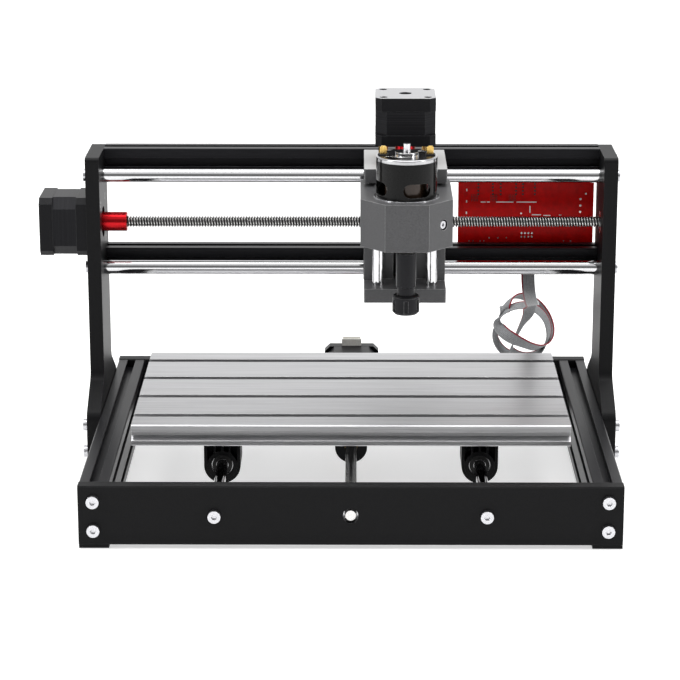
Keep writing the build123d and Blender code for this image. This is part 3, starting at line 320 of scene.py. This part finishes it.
def inside(add, **limits):
    """1 between two heights, widths or depths in metres of the machine, else 0."""
    spot = add("SeparateXYZ", Vector=add("TexCoord").outputs["Object"]).outputs
    mask = 1.0
    for axis, (low, high) in limits.items():
        above = add("Math", {"operation": "GREATER_THAN"}, i0=spot[axis], i1=low).outputs[0]
        below = add("Math", {"operation": "LESS_THAN"}, i0=spot[axis], i1=high).outputs[0]
        both = add("Math", {"operation": "MULTIPLY"}, i0=above, i1=below).outputs[0]
        mask = both if mask == 1.0 else add("Math", {"operation": "MULTIPLY"}, i0=mask, i1=both).outputs[0]
    return mask


def beyond(add, centre, radius):
    """1 further than a radius from an upright axis, else 0."""
    spot = add("TexCoord").outputs["Object"]
    flat = add("VectorMath", {"operation": "MULTIPLY"}, i0=spot, i1=(1, 1, 0)).outputs[0]
    away = add("VectorMath", {"operation": "DISTANCE"}, i0=flat, i1=(*centre, 0)).outputs["Value"]
    return add("Math", {"operation": "GREATER_THAN"}, i0=away, i1=radius).outputs[0]


def dress(material, *names):
    """Gives CAD nodes a finish."""
    for name in names:
        data = nodes[name].data
        data.materials.clear()
        data.materials.append(material)


# End plates, uprights and the parts under the table: hard black resin, moulded with a fine grain,
# its edges painted a little paler as a painted highlight.
black_resin = grain_finish("black_resin", (0.0035, 0.0035, 0.004), (0.008, 0.008, 0.0085), (0.36, 0.48),
                           scale=2600, bump=0.00004, edge=(0.045, 0.045, 0.047), shine=0.09)
dress(black_resin, "front_plate", "back_plate", "left_upright", "right_upright", "bearing_housings",
      "y_nut_holder")

# Rails and beams: black anodised extrusions, with faint die lines along their length.
for name, along in (("left_rail", (60, 1, 60)), ("upper_beam", (1, 60, 60))):
    drawn = grain_finish("black_anodised_" + name, (0.004, 0.004, 0.005), (0.012, 0.012, 0.014), (0.26, 0.42),
                         metal=0.35, scale=60, stretch=along, bump=0.00002, edge=(0.11, 0.11, 0.115),
                         round_edge=0.0002, shine=0.12)
    dress(drawn, name, name.replace("left", "right").replace("upper", "lower"))

# Table: clear anodised slotted plate, drawn along its width, brushed on top.
table_alloy = grain_finish("clear_anodised", (0.4, 0.4, 0.41), (0.64, 0.64, 0.65), (0.3, 0.46), metal=1.0,
                           scale=14, stretch=(1.2, 110, 110), bump=0.00003, edge=(0.9, 0.9, 0.9),
                           round_edge=0.0002, detail=8)
dress(table_alloy, "work_table")

# Guide rods and linear bearings: ground and chromed steel, mirror bright, with the finest of grinding marks.
chrome = grain_finish("ground_chrome_x", (0.5, 0.5, 0.51), (0.66, 0.66, 0.67), (0.04, 0.08), metal=1.0,
                      scale=400, stretch=(8, 1, 1), bump=0.000002)
dress(chrome, "x_rods", "y_rods", "z_rods")
bearing_steel = grain_finish("ground_bearing_steel", (0.5, 0.5, 0.51), (0.66, 0.66, 0.67), (0.16, 0.26),
                             metal=1.0, scale=700, bump=0.000004, edge=(0.8, 0.8, 0.8))
dress(bearing_steel, "x_bearings", "y_bearings", "z_bearings", "end_bearings")

# Frame screws and board fixings: zinc plated, slightly uneven; the motor and table screws are black oxide.
zinc = grain_finish("zinc_plate", (0.42, 0.42, 0.44), (0.66, 0.66, 0.68), (0.2, 0.38), metal=1.0, scale=2200,
                    bump=0.00002, edge=(0.85, 0.85, 0.87))
dress(zinc, "frame_fasteners", "board_fixings", "clamp_screw")
black_oxide = grain_finish("black_oxide", (0.008, 0.008, 0.009), (0.02, 0.02, 0.022), (0.28, 0.42), metal=0.6,
                           scale=1800, bump=0.00002, edge=(0.3, 0.3, 0.31), shine=0.2)
dress(black_oxide, "motor_screws", "table_screws", "collet_holder", "collet_nut")

# Brass nuts and the hexagonal pillars under the Z motor: turned, a little tarnished.
brass = grain_finish("turned_brass", (0.55, 0.33, 0.08), (0.86, 0.6, 0.2), (0.18, 0.34), metal=1.0,
                     scale=900, bump=0.00001, edge=(0.95, 0.75, 0.35))
dress(brass, "z_standoffs", "x_nut", "y_nut", "z_nut")

# Stepper motors: black cast covers on a stack of black coated steel sheets; plug sockets of white nylon.
for axis, ends in (("x", (-0.2090, -0.2087)), ("y", (0.1734, 0.1738)), ("z", (0.2711, 0.2715))):
    def machined(add):
        return [(inside(add, **{axis.upper(): ends}), (0.4, 0.4, 0.41), 0.7)]

    cast_black = grain_finish("cast_black_" + axis, (0.004, 0.004, 0.005), (0.011, 0.011, 0.012), (0.3, 0.44),
                              metal=0.2, scale=2400, bump=0.00004, edge=(0.08, 0.08, 0.084), shine=0.1,
                              over=machined)
    dress(cast_black, axis + "_motor_caps")
for axis, along in (("x", (400, 1, 1)), ("y", (1, 400, 1)), ("z", (1, 1, 400))):
    sheets = grain_finish("steel_sheets_" + axis, (0.005, 0.005, 0.006), (0.018, 0.018, 0.02), (0.3, 0.5),
                          metal=0.5, scale=5, stretch=along, bump=0.00005, edge=(0.09, 0.09, 0.09),
                          shine=0.12)
    dress(sheets, axis + "_motor_stack")
nylon = grain_finish("white_nylon", (0.7, 0.69, 0.64), (0.82, 0.81, 0.77), (0.35, 0.5), scale=1500,
                     bump=0.00002)
dress(nylon, "motor_sockets", "z_motor_socket")

# Couplers: red anodised sleeves on the motor shafts.
for axis, sleeve in (("x", (-0.1725, -0.1470)), ("y", (0.1120, 0.1375)), ("z", (0.2095, 0.2350))):
    def bare_shaft(add):
        covered = inside(add, **{axis.upper(): sleeve})
        shaft = add("Math", {"operation": "SUBTRACT"}, i0=1.0, i1=covered).outputs[0]
        return [(shaft, (0.55, 0.55, 0.56), 1.0)]

    red_alloy = grain_finish("red_anodised_" + axis, (0.38, 0.002, 0.006), (0.58, 0.006, 0.012), (0.16, 0.28),
                             metal=0.8, scale=1200, bump=0.000006, edge=(0.85, 0.12, 0.12), over=bare_shaft)
    dress(red_alloy, axis + "_drive")

# Carriage and spindle clamp: grey resin with a fine mottle, edges painted paler as a painted highlight.
# Painted highlight: the carriage's top face is painted pale grey, as if lit by the light from above.
def painted_lit_top(add):
    return [(inside(add, Z=(0.2234, 0.2236)), (0.36, 0.36, 0.36), 0.2)]


for name, top in (("spindle_clamp", None), ("carriage_body", painted_lit_top)):
    grey_resin = grain_finish("grey_resin_" + name, (0.045, 0.045, 0.047), (0.085, 0.085, 0.088), (0.36, 0.5),
                              scale=1700, bump=0.00005, edge=(0.5, 0.5, 0.5), round_edge=0.0005, shine=0.3,
                              over=top)
    dress(grey_resin, name)

# Spindle motor: black enamelled case with a bright flux ring and a plated end cap; its steel shaft carries
# copper bars and a dark wound armature, seen through the case's windows.
SPINDLE = (0.05325, -0.04525)


def spindle_band(add):
    return [(beyond(add, SPINDLE, 0.0212), (0.72, 0.72, 0.74), 1.0)]


def spindle_core(add):
    copper = beyond(add, SPINDLE, 0.0027)
    wound = beyond(add, SPINDLE, 0.0070)
    return [(copper, (0.6, 0.28, 0.13), 1.0), (wound, (0.03, 0.018, 0.012), 0.3)]


enamel = grain_finish("black_enamel", (0.003, 0.003, 0.003), (0.007, 0.007, 0.007), (0.12, 0.22), scale=900,
                      bump=0.00001, edge=(0.1, 0.1, 0.1), shine=0.13, over=spindle_band)
dress(enamel, "spindle_can")
wound_core = grain_finish("spindle_core", (0.6, 0.6, 0.62), (0.75, 0.75, 0.77), (0.15, 0.3), metal=1.0,
                          scale=1400, bump=0.00001, over=spindle_core)
dress(wound_core, "spindle_shaft")
nickel = grain_finish("nickel_plate", (0.34, 0.34, 0.35), (0.5, 0.5, 0.51), (0.12, 0.24), metal=1.0,
                      scale=1400, bump=0.00001, edge=(0.9, 0.9, 0.9))
dress(nickel, "spindle_end_cap", "collet")

# Control board: red solder mask over copper, with the sink, fan, sockets and button on its rear face.
red_mask = grain_finish("red_solder_mask", (0.5, 0.0, 0.0), (0.7, 0.001, 0.001), (0.25, 0.35), scale=260,
                        bump=0.00002, shine=0.07)
dress(red_mask, "control_board")
black_alloy = grain_finish("black_sink", (0.02, 0.02, 0.021), (0.045, 0.045, 0.047), (0.3, 0.45), metal=0.6,
                           scale=800, bump=0.00002, edge=(0.15, 0.15, 0.15))
dress(black_alloy, "heatsink")
black_moulding = grain_finish("black_moulding", (0.005, 0.005, 0.006), (0.013, 0.013, 0.014), (0.3, 0.42),
                              scale=1500, bump=0.00002, edge=(0.07, 0.07, 0.07), shine=0.2)
dress(black_moulding, "fan_frame", "fan_rotor", "ribbon_socket", "ribbon_plug")


def plugs(add):
    """White lead plugs, green terminal, plated data socket and blue capacitor sleeves with bare tops."""
    return [(inside(add, X=(0.094, 0.145), Z=(0.135, 0.1425)), (0.75, 0.74, 0.7), 0.0),
            (inside(add, X=(0.1755, 0.187), Z=(0.147, 0.159)), (0.02, 0.26, 0.09), 0.0),
            (inside(add, X=(0.1175, 0.1305), Z=(0.2, 0.2195)), (0.66, 0.66, 0.68), 1.0),
            (inside(add, X=(0.094, 0.132), Z=(0.1465, 0.1555)), (0.01, 0.015, 0.06), 0.0),
            (inside(add, X=(0.094, 0.132), Y=(0.0917, 0.093), Z=(0.1465, 0.1555)), (0.7, 0.7, 0.72), 1.0)]


board_parts = grain_finish("board_parts", (0.008, 0.008, 0.009), (0.018, 0.018, 0.019), (0.25, 0.4),
                           scale=1500, bump=0.00002, over=plugs)
dress(board_parts, "board_connectors")
button_red = grain_finish("button_red", (0.5, 0.02, 0.015), (0.62, 0.03, 0.02), (0.25, 0.35), scale=1500,
                          bump=0.00001)
dress(button_red, "power_button")


# Lead screws: rolled stainless, two starts of 2 mm pitch, 8 mm over the crests.
# The thread is one profile of two crests wound up along the screw, cut square at both ends.
LEAD = 0.004
CREST, ROOT = 0.00395, 0.0028
FLANK, CREST_END, THREAD_END = 0.00032, 0.00095, 0.00127  # where one crest is up, falls and ends
AROUND = 24
END_DISC = 0.00119  # thickness of the turned disc at each end
# Painted shade: faces nearer the axis get the root material, a near-black colour standing in for the shade in
# the thread's hollows.
BRIGHT_FROM = 0.0036  # faces nearer the axis are dark roots
stainless = grain_finish("rolled_stainless", (0.5, 0.49, 0.48), (0.7, 0.69, 0.68), (0.14, 0.26), metal=1.0,
                         scale=1500, bump=0.000004, edge=(0.85, 0.85, 0.85), round_edge=0.0001)
# Root material: painted shade, near-black for the shade between the crests.
painted_root_shade = grain_finish("thread_root_painted_shade", (0.02, 0.02, 0.02), (0.06, 0.06, 0.06), (0.3, 0.45), metal=0.8,
                      scale=1500, bump=0.000004)


def thread(name, axis, body):
    low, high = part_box(name)
    length = high[axis] - low[axis]
    middle = (low + high) / 2
    bm = bmesh.new()
    profile = []
    for start in (0, LEAD / 2):
        for along, radius in ((0, ROOT), (FLANK, CREST), (CREST_END, CREST), (THREAD_END, ROOT)):
            profile.append(bm.verts.new((radius, 0, start + along - LEAD)))
    profile.append(bm.verts.new((ROOT, 0, 0)))
    edges = [bm.edges.new(pair) for pair in zip(profile, profile[1:])]
    turns = math.ceil(length / LEAD) + 2
    bmesh.ops.spin(bm, geom=profile + edges, cent=(0, 0, 0), axis=(0, 0, 1), dvec=(0, 0, LEAD / AROUND),
                   angle=2 * math.pi * turns, steps=AROUND * turns, use_merge=False, use_duplicate=False)
    bmesh.ops.remove_doubles(bm, verts=bm.verts, dist=0.00002)
    for cut, normal in ((0, -1), (length, 1)):
        found = bmesh.ops.bisect_plane(bm, geom=bm.verts[:] + bm.edges[:] + bm.faces[:], plane_co=(0, 0, cut),
                                       plane_no=(0, 0, normal), clear_outer=True)
        rim = [g for g in found["geom_cut"] if isinstance(g, bmesh.types.BMEdge)]
        bmesh.ops.edgenet_fill(bm, edges=rim)
    bmesh.ops.recalc_face_normals(bm, faces=bm.faces)
    for at, wide, narrow in ((0.0006, 0.0035, 0.0038), (length - 0.0006, 0.0038, 0.0035)):
        bmesh.ops.create_cone(bm, cap_ends=True, segments=32, radius1=wide, radius2=narrow, depth=END_DISC,
                              matrix=Matrix.Translation((0, 0, at)))
    turn = (Matrix.Rotation(math.radians(90), 4, "Y"), Matrix.Rotation(math.radians(-90), 4, "X"),
            Matrix.Identity(4))[axis]
    bmesh.ops.transform(bm, matrix=turn, verts=bm.verts)
    start = middle.copy()
    start[axis] = low[axis]
    bmesh.ops.translate(bm, vec=start, verts=bm.verts)
    for face in bm.faces:
        away = face.calc_center_median() - middle
        away[axis] = 0
        face.material_index = 0 if away.length > BRIGHT_FROM or face.calc_area() > 0.00002 else 1
    piece = new_piece(name + "_thread", bm, stainless, body)
    piece.data.materials.append(painted_root_shade)
    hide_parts(name)


thread("x_lead_screw", 0, "x_screw")
thread("y_lead_screw", 1, "y_screw")
thread("z_lead_screw", 2, "z_screw")


# Grub screws of the couplers: black set screws sunk in the sleeves' cross holes, two in each.
GRUB_RADIUS, GRUB_LENGTH = 0.0015, 0.0022
GRUB_PLACE = 0.0056  # from the coupler's axis to the middle of the screw


def grub_screws(name, axis, centre, spots, side, body):
    bm = bmesh.new()
    for spot in spots:
        place = list(centre)
        place[axis] = spot
        turn = Vector(side).to_track_quat("Z", "Y").to_matrix().to_4x4()
        bmesh.ops.create_cone(bm, cap_ends=True, segments=20, radius1=GRUB_RADIUS, radius2=GRUB_RADIUS,
                              depth=GRUB_LENGTH,
                              matrix=Matrix.Translation(Vector(place) + Vector(side) * GRUB_PLACE) @ turn)
    piece = new_piece(name, bm, black_oxide, body)


grub_screws("x_grub_screws", 0, (0, 0.04225, 0.173), (-0.1660, -0.1535), (0, 0, -1), "x_screw")
grub_screws("y_grub_screws", 1, (MIDDLE, 0, 0.023), (0.1310, 0.1185), (1, 0, 0), "y_screw")
grub_screws("z_grub_screws", 2, (0.05325, 0.01875, 0), (0.22855, 0.21605), (-1, 0, 0), "z_screw")


# Board print: white ink lines, the driver sockets' holes as flat discs painted dark with the holes' shade,
# and tinned joints on the face towards the beams. The ink is printed, the joints stand a little proud of
# the red mask. Places are in millimetres.
BOARD_FACE = 0.07925


def board_marks(name, marks, proud, material, round_marks=False):
    bm = bmesh.new()
    for x, z, wide, tall in marks:
        at = Matrix.Translation((x / 1000, BOARD_FACE - proud / 2000, z / 1000))
        if round_marks:
            flat = Matrix.Rotation(math.radians(90), 4, "X")
            bmesh.ops.create_cone(bm, cap_ends=True, segments=12, radius1=wide / 2000, radius2=wide / 2600,
                                  depth=proud / 1000, matrix=at @ flat)
        else:
            size = Matrix.Diagonal((wide / 1000, proud / 1000, tall / 1000, 1))
            bmesh.ops.create_cube(bm, size=1, matrix=at @ size)
    piece = new_piece(name, bm, material, "base")


def ink_line(low, high, z):
    return ((low + high) / 2, z, high - low, 0.8)


ink = grain_finish("white_ink", (0.88, 0.87, 0.87), (0.95, 0.94, 0.94), (0.45, 0.6), scale=4000,
                   bump=0.000002)
tin = grain_finish("tinned_joint", (0.5, 0.5, 0.5), (0.75, 0.75, 0.74), (0.2, 0.35), metal=1.0, scale=2500,
                   bump=0.00001)
# Painted shade: the socket holes are flat discs, coloured near-black for the shade inside a hole.
painted_hole_shade = grain_finish("socket_hole_painted_shade", (0.02, 0.001, 0.001), (0.05, 0.002, 0.002), (0.4, 0.5), scale=2500,
                    bump=0.000002)
lines = [ink_line(110.7, 114.2, 179.3), ink_line(115.3, 117.3, 179.3), ink_line(122.0, 134.8, 179.3),
         ink_line(137.1, 151.9, 179.3), ink_line(148.6, 155.4, 169.7), ink_line(157.0, 162.4, 169.2),
         (147.1, 173.8, 0.9, 5.2), (169.5, 169.6, 2.2, 0.6)]
lines += [(100.2, z, 0.9, 1.9) for z in (188.4, 179.8, 171.2)]
board_marks("board_ink", lines, 0.04, ink)
HEADER = 2.54  # pitch of a header's pins
columns = [MIDDLE * 1000 + x for x in (93.5, 104.2, 110.0, 121.3, 126.4, 135.2)]
holes = [(x, 203.0 - HEADER * i, 1.7, 1.7) for x in columns for i in range(8)]
for chip in (103.9, 118.0, 131.6):
    holes += [(chip + 1.1 * i, 184.6 - 1.1 * j, 0.8, 0.8) for i in range(5) for j in range(5)]
board_marks("board_holes", holes, 0.06, painted_hole_shade, round_marks=True)
joints = [(184.2, z, 1.9, 1.9) for z in (181.7, 176.8, 172.0)]
joints += [(188.1, 185.7, 1.6, 1.6), (140.6, 170.8, 1.6, 1.6)]
joints += [(141.2 + HEADER * i, z, 1.7, 1.7) for i in range(4) for z in (155.8, 153.0)]
joints += [(x, 149.8, 1.3, 1.3) for x in (102.5, 105.4, 110.7, 113.4, 172.5, 177.6)]
joints += [(x, 152.2, 1.3, 1.3) for x in (117.3, 123.9, 130.1)]
board_marks("board_joints", joints, 0.5, tin, round_marks=True)


# Spindle terminals: two brass tabs, each through a black card on the end cap, for the motor's push-on leads.
TAB_REACH = 0.0160  # from the spindle's axis to each tab
TAB_HEIGHT, CARD_HEIGHT = 0.24315, 0.2404


def pair_of_plates(name, height, size, material, clipped=0.0):
    bm = bmesh.new()
    for side in (-1, 1):
        place = Matrix.Translation((SPINDLE[0] + side * TAB_REACH, SPINDLE[1], height))
        bmesh.ops.create_cube(bm, size=1, matrix=place @ Matrix.Diagonal((*size, 1)))
    if clipped:
        tips = [e for e in bm.edges
                if abs(e.verts[0].co.y - e.verts[1].co.y) > size[1] / 2 and e.verts[0].co.z > height]
        bmesh.ops.bevel(bm, geom=tips, offset=clipped, affect="EDGES", segments=1, profile=0.5, material=-1)
    piece = new_piece(name, bm, material, "z_head")


pair_of_plates("spindle_tabs", TAB_HEIGHT, (0.0046, 0.0007, 0.0065), brass, clipped=0.0011)
pair_of_plates("spindle_cards", CARD_HEIGHT, (0.0066, 0.0052, 0.0008), black_moulding)


# Seals of the linear bearings: black rubber rings pressed into both ends of each bearing.
SUNK, PROUD = -0.0004, 0.0003  # how far a seal reaches into its bearing and out of it
rubber = grain_finish("seal_rubber", (0.01, 0.01, 0.01), (0.02, 0.02, 0.02), (0.5, 0.65), scale=2500,
                      bump=0.00001, shine=0.3)


def seals(name, axis, centres, ends, inner, outer, body):
    bm = bmesh.new()
    for centre in centres:
        for end, out in ends:
            place = Vector(centre)
            place[axis] = end
            ahead = Vector((axis == 0, axis == 1, axis == 2)) * out
            across = Vector((0, 0, 1)) if axis != 2 else Vector((1, 0, 0))
            corners = [(inner, SUNK), (inner, PROUD), (outer, PROUD), (outer, SUNK)]
            ring = [bm.verts.new(place + across * r + ahead * h) for r, h in corners]
            edges = [bm.edges.new((ring[i], ring[(i + 1) % 4])) for i in range(4)]
            bmesh.ops.spin(bm, geom=ring + edges, cent=place, axis=ahead, angle=2 * math.pi, steps=32,
                           use_merge=True, use_duplicate=False)
    bmesh.ops.remove_doubles(bm, verts=bm.verts, dist=0.000001)
    bmesh.ops.recalc_face_normals(bm, faces=bm.faces)
    piece = new_piece(name, bm, rubber, body)


seals("x_seals", 0, [(0, 0.04225, 0.207), (0, 0.04225, 0.139)], [(0.02425, -1), (0.08225, 1)], 0.0053, 0.0090,
      "x_carriage")
for side in (-0.090, 0.090):
    tag = "left" if side < 0 else "right"
    ends = [(-0.06475, -1), (-0.04075, 1), (0.01575, -1), (0.03975, 1)]
    seals("y_seals_" + tag, 1, [(side + MIDDLE, 0, 0.023)], ends, 0.0043, 0.0071, "y_table")
seals("z_seals", 2, [(0.03425, -0.00075, 0), (0.07225, -0.00075, 0)], [(0.1825, -1), (0.2065, 1)],
      0.0043, 0.0071, "z_head")
